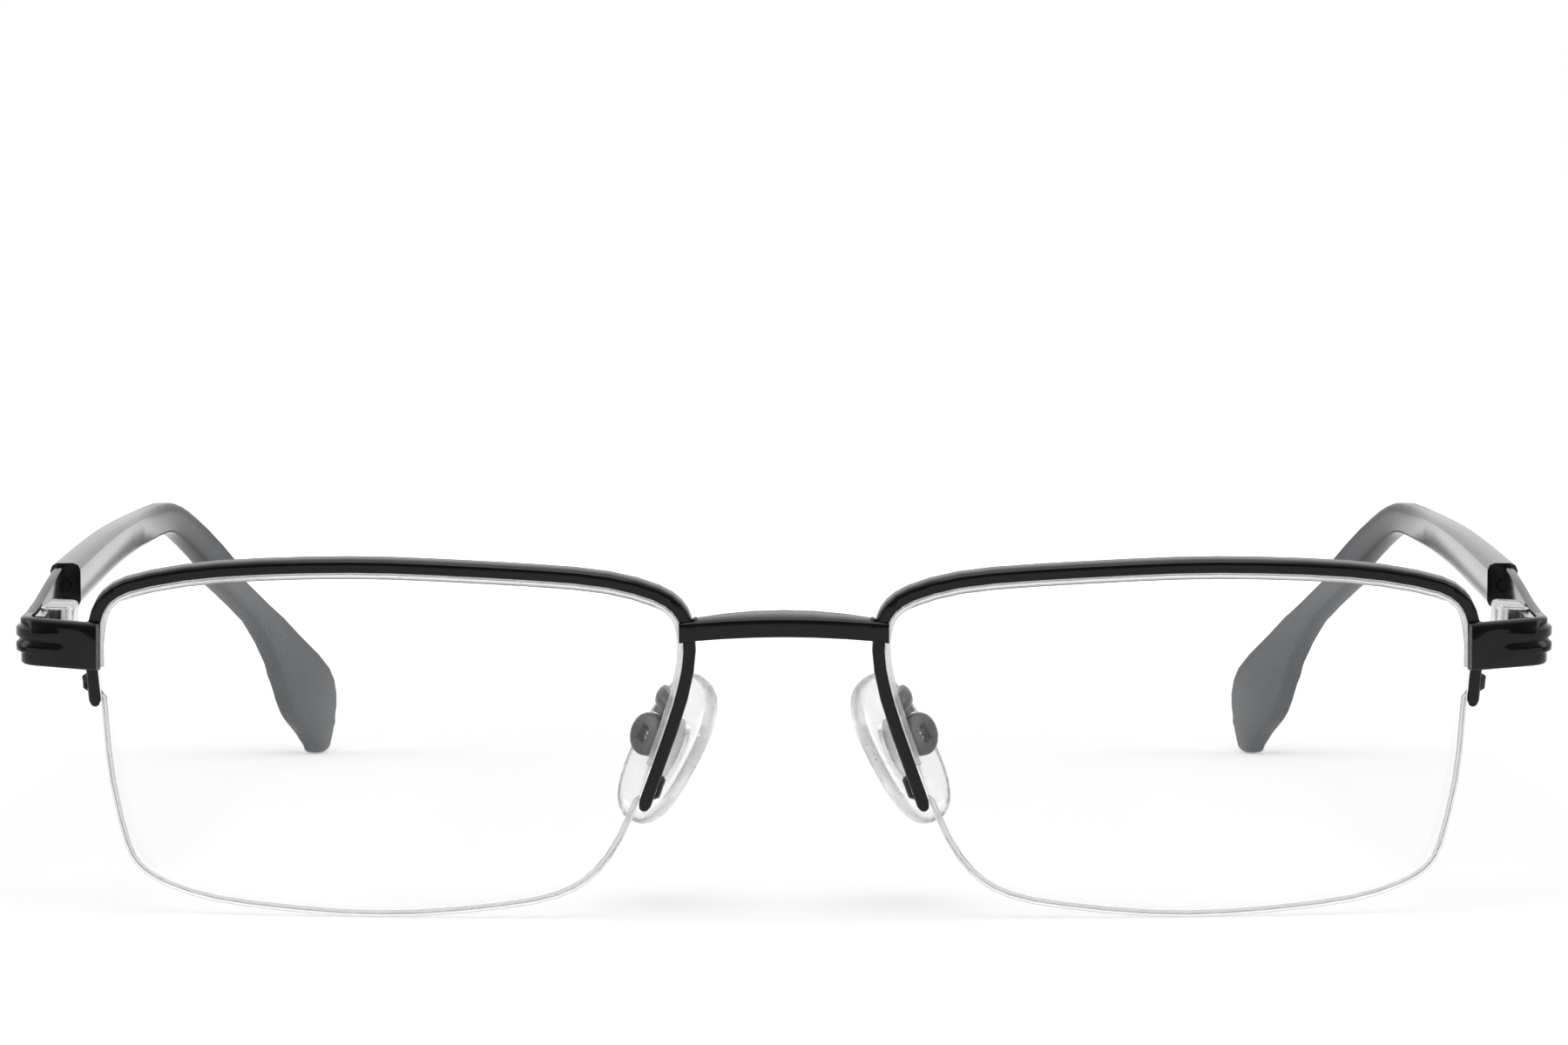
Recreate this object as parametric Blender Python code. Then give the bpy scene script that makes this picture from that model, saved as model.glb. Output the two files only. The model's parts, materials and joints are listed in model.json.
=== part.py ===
"""Semi-rimless eyeglasses, open, standing on the lens bottoms and the temple tips.

Metres, +Z up. The front faces -Y, the temples run to +Y, and the wearer's left is +X.
The origin lies on the table, at the middle of the footprint.
Places on the front are given as (u, v, d): u across from the middle, v up along the
leaning front, and d behind the front surface of the lens.
Places on a temple are given as (x, b, h): x outward from the hinge axis, b back, h up.
"""

import math

import bmesh
import bpy
import numpy as np
from mathutils import Matrix, Vector

# Whole frame: how the front leans, wraps and curves
FRONT_LEAN_DEG = 10.0
FRONT_WRAP_DEG = 4.0
BASE_RADIUS = 0.120
NOSE_GAP = 0.01832
SEAT_GAP = 0.00010
RUNNING_GAP = 0.00006
OVERRUN = 0.0010

# Lens
LENS_WIDTH = 0.05302
LENS_HEIGHT = 0.03236
LENS_BELOW_AXIS_SHARE = 0.4876
LENS_THICKNESS = 0.0019
LENS_EDGE_BREAK = 0.00012
LENS_GROOVE_WIDTH = 0.00062
LENS_GROOVE_DEPTH = 0.00062
LENS_AXIS_SHARE = 0.497
LENS_OUTLINE_SHARES = (
    (0.000, 0.810), (0.012, 0.874), (0.063, 0.929), (0.210, 0.976), (0.370, 0.993),
    (0.535, 1.000), (0.680, 0.990), (0.820, 0.966), (0.918, 0.931), (0.981, 0.878),
    (1.000, 0.795), (0.999, 0.600), (0.991, 0.400), (0.973, 0.230), (0.946, 0.116),
    (0.888, 0.057), (0.720, 0.011), (0.510, 0.000), (0.316, 0.028), (0.170, 0.098),
    (0.118, 0.192), (0.056, 0.434), (0.004, 0.706),
)
LENS_RING_SHARES = (0.78, 0.42)

# Eyewire: the grooved half-rim with its two limbs
RIM_GAP = 0.00006
RIM_WALL = 0.00112
RIM_DEPTH = 0.0020
RIM_ROUND = 0.00026
RIM_INNER_BREAK = 0.00008
CHANNEL_WIDTH = 0.00066
CHANNEL_DEPTH = 0.00046
NASAL_LIMB_SHARE = 0.675
TEMPORAL_LIMB_SHARE = 0.414
CORD_HOLE_RADIUS = 0.00036
NASAL_HOLE_FROM_END = 0.0012
NASAL_HOLE_PITCH = 0.0022
TEMPORAL_HOLE_FROM_END = 0.0013
TEMPORAL_HOLE_PITCH = 0.0015

# Nylon pieces
CORD_DIAMETER = 0.00048
CORD_LOOP_STAND = 0.00006
CORD_LEAVE_SHARE = 2.4
CORD_TURN_SHARE = 1.3
CORD_CLIMB_SHARE = 0.35
CORD_LOOP_SHARE = 0.55
LINER_WIDTH = 0.00048
LINER_STOP = 0.0008

# Bridge
BRIDGE_HEIGHT = 0.00178
BRIDGE_DEPTH = 0.0032
BRIDGE_PROUD = 0.00062
BRIDGE_BELOW_TOP = 0.00555
BRIDGE_ARCH = 0.00050
BRIDGE_LAP = 0.0016
BRIDGE_ROUND = 0.00022
BRIDGE_THINNING_SHARE = 0.4

# Endpiece
PLATE_THICKNESS = 0.0010
PLATE_HEIGHT = 0.0043
PLATE_BELOW_TOP = 0.00772
CORNER_RADIUS = 0.0017
PLATE_OUT = 0.00697
PLATE_BEHIND_CORNER = 0.0029
PLATE_EDGE_BREAK = 0.00018
BAND_PROUD = 0.00042
BAND_HEIGHT = 0.0021
BAND_ABOVE_MIDDLE = 0.00015
BAND_STEP = 0.00022
GROOVE_WIDTH = 0.00034
GROOVE_DEPTH = 0.00030
GROOVE_START = 0.0028
BAND_FADE = 0.0020

# Hinge
KNUCKLE_RADIUS = 0.0014
HINGE_HEIGHT = 0.0046
LEAF_THICKNESS = 0.00085
LEAF_PROUD = 0.00006
HINGE_BLOCK_BACK = 0.0056
HINGE_BLOCK_ROUND = 0.00045
SCREW_RADIUS = 0.00058
SCREW_HEAD_RADIUS = 0.00092
SCREW_HEAD_HEIGHT = 0.00046
SCREW_SLOT_WIDTH = 0.00030
SCREW_SLOT_DEPTH = 0.00022
HINGE_BEHIND_PLATE = 0.0024
SQUARE_CORNER_DEG = 90.0
FOLD_CANT_DEG = 2.4
STOP_GAP = 0.00020

# Temple plate and arm
TEMPLE_PLATE_THICKNESS = 0.0009
TEMPLE_PLATE_HEIGHT = 0.0042
ARM_FRONT = 0.0195
ARM_REACH = 0.0945
ARM_HEIGHT = 0.0040
ARM_THICKNESS = 0.0029
ARM_INWARD = 0.00050
TIP_THICKNESS = 0.0017
TAIL_LENGTH = 0.0407
TAIL_DROP_DEG = 39.7
TAIL_WIDTH = 0.0075
TIP_INWARD = 0.0151
BOW_START = 0.0730
CORE_RADIUS = 0.00055
CORE_LENGTH = 0.070
ARM_CORNER_SHARE = 0.24
TIP_END_ROUND = 0.0011
TIP_END_ANGLES_DEG = (35.0, 62.0, 80.0)
STEEPEST_RISE_DEG = 12.0
RISE_HALVINGS = 40
ARM_RINGS = 30
ARM_DENSE = 400
CORE_POINTS = 6
TAIL_START_SHARE = -0.19
PLATE_END_SHARE = 0.86
TEMPLE_PLATE_SHARES = (0.0, 0.3, 0.45, 0.6, 0.8, 1.0)
ARM_LINE_SHARES = (
    (0.0, 0.38), (0.25, 0.28), (0.47, 0.14), (0.68, -0.09), (0.84, -0.22), (0.94, -0.34),
)
ARM_WIDTH_SHARES = (1.08, 1.04, 0.98, 0.93, 0.87, 0.82)
TAIL_LINE_SHARES = (
    (0.035, -0.045), (0.226, -0.015), (0.466, -0.009), (0.686, -0.033), (0.781, -0.055),
    (0.867, -0.081), (0.937, -0.119), (0.985, -0.162),
)
TAIL_WIDTH_SHARES = (0.45, 0.47, 0.45, 0.63, 0.85, 0.98, 0.73, 0.36)

# Nose pads and what carries them
PAD_LENGTH = 0.0151
PAD_WIDTH = 0.0080
PAD_THICKNESS = 0.0021
PAD_OUT = 0.0106
PAD_BEHIND = 0.0098
PAD_BELOW_TOP = 0.0192
PAD_SPLAY_DEG = 43.0
PAD_FLARE_DEG = 28.0
PAD_TIP_BACK_DEG = 11.0
PAD_BOX_RADIUS = 0.0020
PAD_BOX_THICKNESS = 0.0019
PAD_BOX_ABOVE = 0.0011
PAD_SLOT_WIDTH = 0.0012
PAD_SLOT_HEIGHT = 0.0016
PAD_CORE_WIDTH = 0.0030
PAD_CORE_LENGTH = 0.0070
PAD_CORE_THICKNESS = 0.0006
PAD_BOX_STAND = 0.00110
PAD_ROCK_ROOM = 0.00020
PAD_BOX_ROUND = 0.00035
PAD_CROWN_SQUARENESS = 2.5
PAD_ROUND_POINTS = 22
PAD_RING_SHARES = ((0.90, -0.5), (1.0, -0.28), (1.0, -0.02), (0.93, 0.22), (0.80, 0.40), (0.52, 0.5))
PAD_SCREW_RADIUS = 0.00040
PAD_ARM_WIDTH = 0.0018
PAD_ARM_THICKNESS = 0.0011
PAD_ARM_BELOW_TOP = 0.0131
PAD_ARM_BACK = 0.0030
PAD_ARM_ASIDE = 0.0014
PAD_ARM_ARCH = 0.0014
PAD_ARM_POINTS = 9
PAD_ARM_SIDES = 10
SCREW_SIDES = 10
PAD_ARM_LEAN_DEG = -6.0

# Facets
SMOOTH_UNDER_DEG = 35.0
TURN_PER_FACET_DEG = 12.5
HOLE_SIDES = 8
CORD_SIDES = 6
CORNER_STEPS = 7
LIMB_END_SHARES = (0.06, 0.3, 1.0)
PLATE_FACE_SHARES = (0.0, 0.3, 0.42, 0.54, 0.7, 1.0)
BRIDGE_SHARES = (0.0, 0.35, 0.7, 1.0)
BRIDGE_LAP_SHARES = (0.06, 0.5, 1.0)
BRIDGE_TAPER_SHARE = 0.5
LONGEST_FACET = 0.0045
ROUND_SIDES = 20
DENSE_POINTS = 900
PROBE = 0.0002

SIDES = ((1, "left"), (-1, "right"))
LEAN = math.radians(FRONT_LEAN_DEG)
WRAP = math.radians(FRONT_WRAP_DEG)
LENS_NASAL = NOSE_GAP / 2
LENS_TEMPORAL = LENS_NASAL + LENS_WIDTH
LENS_TOP_V = LENS_HEIGHT * (1 - LENS_BELOW_AXIS_SHARE)
LENS_AXIS_U = LENS_NASAL + LENS_WIDTH * LENS_AXIS_SHARE
RIM_INNER = RIM_GAP
RIM_OUTER = RIM_GAP + RIM_WALL
RIM_FRONT = (LENS_THICKNESS - RIM_DEPTH) / 2
RIM_BACK = RIM_FRONT + RIM_DEPTH
GROOVE_MIDDLE = LENS_THICKNESS / 2
CANT = math.radians(FOLD_CANT_DEG)
NASAL_LIMB_LOW = LENS_TOP_V - LENS_HEIGHT * NASAL_LIMB_SHARE
TEMPORAL_LIMB_LOW = LENS_TOP_V - LENS_HEIGHT * TEMPORAL_LIMB_SHARE
BRIDGE_END_V = LENS_TOP_V - BRIDGE_BELOW_TOP
PLATE_MIDDLE_V = LENS_TOP_V - PLATE_BELOW_TOP
CORNER_OUT = LENS_TEMPORAL + PLATE_OUT
PAD_UP = LENS_TOP_V - PAD_BELOW_TOP
PAD_ARM_ROOT_V = LENS_TOP_V - PAD_ARM_BELOW_TOP
HINGE_SEAT = SEAT_GAP + LEAF_PROUD + HINGE_HEIGHT / 2 * math.sin(CANT)

MATERIALS = {
    "black_metal": ((0.012, 0.012, 0.012), 0.28, 1.0),
    "steel": ((0.62, 0.62, 0.60), 0.30, 1.0),
    "dark_steel": ((0.09, 0.09, 0.09), 0.42, 1.0),
    "black_plastic": ((0.016, 0.017, 0.018), 0.22, 0.0),
    "clear_lens": ((0.93, 0.96, 0.95), 0.05, 0.0),
    "clear_nylon": ((0.85, 0.86, 0.84), 0.25, 0.0),
    "clear_silicone": ((0.88, 0.89, 0.88), 0.35, 0.0),
}


def clear_scene():
    for obj in list(bpy.data.objects):
        bpy.data.objects.remove(obj, do_unlink=True)


def material(name):
    found = bpy.data.materials.get(name)
    if found:
        return found
    colour, roughness, metallic = MATERIALS[name]
    made = bpy.data.materials.new(name)
    made.use_nodes = True
    shader = made.node_tree.nodes["Principled BSDF"]
    shader.inputs["Base Color"].default_value = (*colour, 1.0)
    shader.inputs["Roughness"].default_value = roughness
    shader.inputs["Metallic"].default_value = metallic
    return made


def object_from(name, bm, finish, parent=None):
    """An object with this bmesh, its faces turned out and its round parts shaded smooth."""
    bmesh.ops.recalc_face_normals(bm, faces=bm.faces)
    if bm.calc_volume(signed=True) < 0:
        bmesh.ops.reverse_faces(bm, faces=bm.faces)
    mesh = bpy.data.meshes.new(name)
    bm.to_mesh(mesh)
    bm.free()
    mesh.shade_smooth()
    mesh.set_sharp_from_angle(angle=math.radians(SMOOTH_UNDER_DEG))
    mesh.materials.append(material(finish))
    obj = bpy.data.objects.new(name, mesh)
    bpy.context.scene.collection.objects.link(obj)
    obj.parent = parent
    return obj


def loft(name, rings, finish, parent=None, closed=False, tips=None):
    """A skin over rings of points. Open ends get a cap, or close on the two points in tips."""
    bm = bmesh.new()
    made = [[bm.verts.new(point) for point in ring] for ring in rings]
    count = len(made[0])
    pairs = list(zip(made, made[1:]))
    if closed:
        pairs.append((made[-1], made[0]))
    for near, far in pairs:
        for i in range(count):
            j = (i + 1) % count
            bm.faces.new((near[i], near[j], far[j], far[i]))
    if tips:
        for ring, tip in ((made[0], tips[0]), (made[-1], tips[1])):
            end = bm.verts.new(tip)
            for i in range(count):
                bm.faces.new((ring[i], ring[(i + 1) % count], end))
    elif not closed:
        bm.faces.new(made[0])
        bm.faces.new(made[-1])
    return object_from(name, bm, finish, parent)


def cutter(name, bm, parent=None):
    obj = object_from(name, bm, "steel", parent)
    obj.hide_render = True
    obj.display_type = "WIRE"
    return obj


def boolean(obj, other, operation):
    change = obj.modifiers.new(operation.lower() + "_" + other.name, "BOOLEAN")
    change.operation = operation
    change.object = other
    change.solver = "EXACT"


def cylinder_into(bm, middle, axis, radius, length, sides=ROUND_SIDES):
    turn = Vector((0, 0, 1)).rotation_difference(axis.normalized()).to_matrix().to_4x4()
    bmesh.ops.create_cone(
        bm, cap_ends=True, segments=sides, radius1=radius, radius2=radius, depth=length,
        matrix=Matrix.Translation(middle) @ turn,
    )


def box_into(bm, low, high):
    middle = (Vector(low) + Vector(high)) / 2
    size = Vector(high) - Vector(low)
    place = Matrix.Translation(middle) @ Matrix.Diagonal((*size, 1.0))
    bmesh.ops.create_cube(bm, size=1.0, matrix=place)


def spline(points, count, closed=False):
    """Points evenly spaced along a smooth curve through the given ones."""
    given = np.array([tuple(p) for p in points], float)
    if closed:
        given = np.vstack([given, given[:1]])
    steps = np.linalg.norm(np.diff(given, axis=0), axis=1)
    knots = np.concatenate([[0.0], np.cumsum(steps)])
    slopes = spline_slopes(given, steps, closed)
    fine = np.linspace(0.0, knots[-1], count * 4 + 1)
    at = np.clip(np.searchsorted(knots, fine, side="right") - 1, 0, len(steps) - 1)
    h = steps[at][:, None]
    t = ((fine - knots[at]) / steps[at])[:, None]
    dense = (
        (2 * t**3 - 3 * t**2 + 1) * given[at]
        + (t**3 - 2 * t**2 + t) * h * slopes[at]
        + (-2 * t**3 + 3 * t**2) * given[at + 1]
        + (t**3 - t**2) * h * slopes[at + 1]
    )
    run = np.concatenate([[0.0], np.cumsum(np.linalg.norm(np.diff(dense, axis=0), axis=1))])
    even = np.linspace(0.0, run[-1], count + 1)
    out = np.array([np.interp(even, run, dense[:, k]) for k in range(dense.shape[1])]).T
    return out[:-1] if closed else out


def spline_slopes(given, steps, closed):
    """The slope at each point that makes the curve's bend run on without a jump."""
    n = len(given)
    matrix = np.zeros((n, n))
    right = np.zeros((n, given.shape[1]))
    for i in range(1, n - 1):
        a, b = steps[i - 1], steps[i]
        matrix[i, i - 1 : i + 2] = (b, 2 * (a + b), a)
        right[i] = 3 * (b * (given[i] - given[i - 1]) / a + a * (given[i + 1] - given[i]) / b)
    if closed:
        a, b = steps[-1], steps[0]
        matrix[0, n - 2], matrix[0, 0], matrix[0, 1] = b, 2 * (a + b), a
        right[0] = 3 * (b * (given[0] - given[n - 2]) / a + a * (given[1] - given[0]) / b)
        matrix[-1, 0], matrix[-1, -1] = 1, -1
    else:
        matrix[0, :2] = (2, 1)
        right[0] = 3 * (given[1] - given[0]) / steps[0]
        matrix[-1, -2:] = (1, 2)
        right[-1] = 3 * (given[-1] - given[-2]) / steps[-1]
    return np.linalg.solve(matrix, right)


class Front:
    """The curved, leaning surface that the lenses and the rims follow."""

    def __init__(self):
        self.lift = 0.0
        low = min(self.point(1, u, v)[2] for u, v in outline())
        self.lift = -low

    def point(self, side, u, v, d=0.0):
        across = u - LENS_AXIS_U
        sag = BASE_RADIUS - math.sqrt(BASE_RADIUS**2 - across**2 - v**2)
        w = -sag - across * math.tan(WRAP) - d
        return Vector((
            side * u,
            -v * math.sin(LEAN) - w * math.cos(LEAN),
            v * math.cos(LEAN) - w * math.sin(LEAN) + self.lift,
        ))

    def up_along(self, side, u, v):
        """The direction that climbs the front surface here."""
        return (self.point(side, u, v + PROBE) - self.point(side, u, v - PROBE)).normalized()

    def rearward(self, side, u, v):
        """The direction square to the front surface here, away from the front."""
        out = (self.point(side, u + PROBE, v) - self.point(side, u - PROBE, v)).normalized()
        way = out.cross(self.up_along(side, u, v)).normalized()
        return way if way.y > 0 else -way


def outline():
    """The lens outline as (u, v), starting at the nasal top corner and going over the top."""
    points = [
        (LENS_NASAL + a * LENS_WIDTH, (b - LENS_BELOW_AXIS_SHARE) * LENS_HEIGHT)
        for a, b in LENS_OUTLINE_SHARES
    ]
    return spline(points, DENSE_POINTS, closed=True)


class Edge:
    """The outline by distance along it, with the direction that points out of the lens."""

    def __init__(self):
        self.points = outline()
        self.count = len(self.points)
        ahead = np.roll(self.points, -1, axis=0)
        behind = np.roll(self.points, 1, axis=0)
        along = ahead - behind
        along /= np.linalg.norm(along, axis=1)[:, None]
        self.out = np.stack([-along[:, 1], along[:, 0]], axis=1)
        self.pitch = np.linalg.norm(ahead - self.points, axis=1).mean()

    def at(self, index, r=0.0):
        """(u, v) at this index, which may be a fraction, r outside the lens."""
        low = int(math.floor(index))
        t = index - low
        a, b = low % self.count, (low + 1) % self.count
        point = self.points[a] * (1 - t) + self.points[b] * t
        out = self.out[a] * (1 - t) + self.out[b] * t
        return point + out / np.linalg.norm(out) * r

    def nasal_index(self, v):
        """Where the nasal side stands at this height, as a negative index before the top corner."""
        indices = range(-1, -self.count // 2, -1)
        return next(i for i in indices if self.points[i % self.count][1] <= v)

    def temporal_index(self, v):
        half = next(i for i in range(self.count) if self.points[i][0] >= LENS_AXIS_U)
        return next(i for i in range(half, self.count) if self.points[i][1] <= v)

    def stations(self, start, end):
        """Indices from start to end, close together where the outline turns and far apart where not."""
        turn = math.radians(TURN_PER_FACET_DEG)
        found = [float(start)]
        spent = 0.0
        for i in range(int(math.ceil(start)), int(end)):
            a = self.out[i % self.count]
            b = self.out[(i + 1) % self.count]
            angle = math.acos(max(-1.0, min(1.0, float(a @ b))))
            spent += angle / turn + self.pitch / LONGEST_FACET
            if spent >= 1:
                found.append(float(i + 1))
                spent = 0.0
        if end - found[-1] < (found[-1] - found[-2]) / 2:
            found.pop()
        found.append(float(end))
        return found


def strip_ring(front, edge, side, index, profile):
    """A cross-section (r, d) set square to the lens edge at this station."""
    ring = []
    for r, d in profile:
        u, v = edge.at(index, r)
        ring.append(front.point(side, u, v, d))
    return ring


def corner_arc(r, d, radius, start_deg, steps=3):
    """Points round a quarter circle whose centre is (r, d)."""
    angles = [math.radians(start_deg + k * 90.0 / (steps - 1)) for k in range(steps)]
    return [(r + radius * math.cos(a), d + radius * math.sin(a)) for a in angles]


def add_lens(front, edge, side, name):
    half = LENS_GROOVE_WIDTH / 2
    broken = LENS_EDGE_BREAK
    rim = (
        (-broken, 0.0), (0.0, broken), (0.0, GROOVE_MIDDLE - half),
        (-LENS_GROOVE_DEPTH, GROOVE_MIDDLE - half), (-LENS_GROOVE_DEPTH, GROOVE_MIDDLE + half),
        (0.0, GROOVE_MIDDLE + half), (0.0, LENS_THICKNESS - broken), (-broken, LENS_THICKNESS),
    )
    stations = edge.stations(0, edge.count)[:-1]
    inner_u, inner_v = zip(*[edge.at(i, -broken) for i in stations])

    def face_ring(share, d):
        return [
            front.point(side, LENS_AXIS_U + (u - LENS_AXIS_U) * share, v * share, d)
            for u, v in zip(inner_u, inner_v)
        ]

    rings = [face_ring(share, 0.0) for share in reversed(LENS_RING_SHARES)]
    for r, d in rim:
        rings.append([front.point(side, *edge.at(i, r), d) for i in stations])
    rings += [face_ring(share, LENS_THICKNESS) for share in LENS_RING_SHARES]
    middles = [front.point(side, LENS_AXIS_U, 0.0, d) for d in (0.0, LENS_THICKNESS)]
    return loft(name, rings, "clear_lens", tips=middles)


def limb_indices(edge):
    """How far along the edge the eyewire runs, and where its cord holes are."""
    start = edge.nasal_index(NASAL_LIMB_LOW)
    end = edge.temporal_index(TEMPORAL_LIMB_LOW)
    nasal = [start + s / edge.pitch for s in (NASAL_HOLE_FROM_END, NASAL_HOLE_FROM_END + NASAL_HOLE_PITCH)]
    temporal = [
        end - s / edge.pitch
        for s in (TEMPORAL_HOLE_FROM_END, TEMPORAL_HOLE_FROM_END + TEMPORAL_HOLE_PITCH)
    ]
    return start, end, nasal, temporal


def rim_profile(narrow):
    """The eyewire's section. Narrow draws it in towards its middle for a rounded limb end."""
    half = CHANNEL_WIDTH / 2
    outer = RIM_OUTER - RIM_ROUND
    section = (
        corner_arc(outer, RIM_BACK - RIM_ROUND, RIM_ROUND, 0.0)
        + [(RIM_INNER + RIM_INNER_BREAK, RIM_BACK), (RIM_INNER, RIM_BACK - RIM_INNER_BREAK)]
        + [(RIM_INNER, GROOVE_MIDDLE + half), (RIM_INNER + CHANNEL_DEPTH, GROOVE_MIDDLE + half)]
        + [(RIM_INNER + CHANNEL_DEPTH, GROOVE_MIDDLE - half), (RIM_INNER, GROOVE_MIDDLE - half)]
        + [(RIM_INNER, RIM_FRONT + RIM_INNER_BREAK), (RIM_INNER + RIM_INNER_BREAK, RIM_FRONT)]
        + corner_arc(outer, RIM_FRONT + RIM_ROUND, RIM_ROUND, 270.0)
    )
    middle = (RIM_INNER + RIM_OUTER) / 2
    return [(middle + (r - middle) * narrow, d) for r, d in section]


def add_eyewire(front, edge, side, name):
    start, end, nasal, temporal = limb_indices(edge)
    radius = RIM_WALL / 2
    rings = []
    ends = [radius * share for share in LIMB_END_SHARES]
    stations = (
        [start + s / edge.pitch for s in ends]
        + [i for i in edge.stations(start, end)
           if start + RIM_WALL / edge.pitch < i < end - RIM_WALL / edge.pitch]
        + [end - s / edge.pitch for s in reversed(ends)]
    )
    for i in stations:
        near = min(i - start, end - i) * edge.pitch
        inside = min(near / radius, 1.0)
        narrow = math.sqrt(1 - (1 - inside) ** 2)
        rings.append(strip_ring(front, edge, side, i, rim_profile(narrow)))
    rim = loft(name, rings, "black_metal")
    holes = bmesh.new()
    for i in nasal + temporal:
        inner = front.point(side, *edge.at(i, RIM_INNER - OVERRUN / 4), GROOVE_MIDDLE)
        outer = front.point(side, *edge.at(i, RIM_OUTER + OVERRUN), GROOVE_MIDDLE)
        length = (outer - inner).length
        cylinder_into(holes, (inner + outer) / 2, outer - inner, CORD_HOLE_RADIUS, length, HOLE_SIDES)
    boolean(rim, cutter("cord_holes_" + name, holes), "DIFFERENCE")
    return rim


def tube(name, points, radius, sides, finish, parent=None, flat=1.0, up=None):
    """A rod along the points. Flat makes it thinner along the up direction."""
    rings = []
    side_way = None
    for k, point in enumerate(points):
        ahead = (points[min(k + 1, len(points) - 1)] - points[max(k - 1, 0)]).normalized()
        if up is not None:
            side_way = ahead.cross(up).normalized()
        elif side_way is None:
            side_way = ahead.orthogonal().normalized()
        else:
            side_way = (side_way - ahead * side_way.dot(ahead)).normalized()
        other = side_way.cross(ahead)
        rings.append([
            point
            + side_way * radius * math.cos(2 * math.pi * (n + 0.5) / sides)
            + other * radius * flat * math.sin(2 * math.pi * (n + 0.5) / sides)
            for n in range(sides)
        ])
    return loft(name, rings, finish, parent)


def add_liner(front, edge, side, name):
    start, end, nasal, temporal = limb_indices(edge)
    first = nasal[1] + LINER_STOP / edge.pitch
    last = temporal[1] - LINER_STOP / edge.pitch
    low = -LENS_GROOVE_DEPTH + SEAT_GAP
    high = RIM_INNER + CHANNEL_DEPTH - SEAT_GAP
    half = LINER_WIDTH / 2
    profile = (
        (low, GROOVE_MIDDLE - half), (low, GROOVE_MIDDLE + half),
        (high, GROOVE_MIDDLE + half), (high, GROOVE_MIDDLE - half),
    )
    rings = [strip_ring(front, edge, side, i, profile) for i in edge.stations(first, last)]
    return loft(name, rings, "clear_nylon")


def lacing(edge, hole, next_hole, way):
    """(index, r) of the cord where it leaves the lens groove, loops outside the limb and comes back.

    The distances along the limb are shares of the cord's diameter.
    """
    radius = CORD_DIAMETER / 2
    loop = RIM_OUTER + radius + CORD_LOOP_STAND
    in_groove = -LENS_GROOVE_DEPTH + radius + RUNNING_GAP
    step = CORD_DIAMETER / edge.pitch * way
    return [
        (hole - CORD_LEAVE_SHARE * step, in_groove), (hole - CORD_TURN_SHARE * step, in_groove),
        (hole - CORD_CLIMB_SHARE * step, 0.0), (hole, RIM_INNER + CHANNEL_DEPTH),
        (hole, RIM_OUTER - radius / 2), (hole + CORD_LOOP_SHARE * step, loop),
        (next_hole - CORD_LOOP_SHARE * step, loop), (next_hole, RIM_OUTER - radius / 2),
        (next_hole, RIM_INNER + CHANNEL_DEPTH), (next_hole, RIM_INNER),
    ]


def add_cord(front, edge, side, name):
    start, end, nasal, temporal = limb_indices(edge)
    radius = CORD_DIAMETER / 2
    in_groove = -LENS_GROOVE_DEPTH + radius + RUNNING_GAP
    nasal_end = lacing(edge, nasal[0], nasal[1], 1)
    temporal_end = lacing(edge, temporal[0], temporal[1], -1)
    first = temporal_end[0][0]
    last = nasal_end[0][0] + edge.count
    groove = [(i, in_groove) for i in edge.stations(first, last)]
    route = temporal_end[:0:-1] + groove + [(i + edge.count, r) for i, r in nasal_end[1:]]
    points = [front.point(side, *edge.at(i, r), GROOVE_MIDDLE) for i, r in route]
    return tube(name, points, radius, CORD_SIDES, "clear_nylon")


def add_bridge(front, edge):
    """The arched bar between the eyewires. Its ends thin out to lap over the front of both."""
    rim_u = edge.at(edge.nasal_index(BRIDGE_END_V), RIM_OUTER)[0]
    inner = rim_u - SEAT_GAP
    half_span = inner + BRIDGE_LAP
    stations = [inner * share for share in BRIDGE_SHARES]
    stations += [inner + BRIDGE_LAP * share for share in BRIDGE_LAP_SHARES]
    rings = []
    for x in [-s for s in reversed(stations)] + stations[1:]:
        across = abs(x)
        lap = across > inner
        arch = BRIDGE_ARCH * (1 - (across / half_span) ** 2)
        front_d = -BRIDGE_PROUD
        depth = BRIDGE_DEPTH * (1 - BRIDGE_THINNING_SHARE * min(across / inner, 1.0) ** 2)
        back_d = RIM_FRONT - SEAT_GAP if lap else depth - BRIDGE_PROUD
        rounded = min(BRIDGE_ROUND, (back_d - front_d) / 2 - RUNNING_GAP)
        thin = BRIDGE_PROUD * max(0.0, across - inner) / BRIDGE_LAP * BRIDGE_TAPER_SHARE
        low = BRIDGE_END_V - BRIDGE_HEIGHT / 2 + arch
        high = low + BRIDGE_HEIGHT
        section = (
            corner_arc(high - rounded, back_d - rounded, rounded, 0.0)
            + corner_arc(low + rounded, back_d - rounded, rounded, 90.0)
            + corner_arc(low + rounded, front_d + thin + rounded, rounded, 180.0)
            + corner_arc(high - rounded, front_d + thin + rounded, rounded, 270.0)
        )
        at = max(across, inner)
        ring = []
        for v, d in section:
            place = front.point(1, at, v, d)
            follow = 0.0 if lap else edge.at(edge.nasal_index(v), RIM_OUTER)[0] - rim_u
            ring.append(Vector((x + math.copysign(follow * across / inner, x), place.y, place.z)))
        rings.append(ring)
    return loft("bridge", rings, "black_metal")


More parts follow.
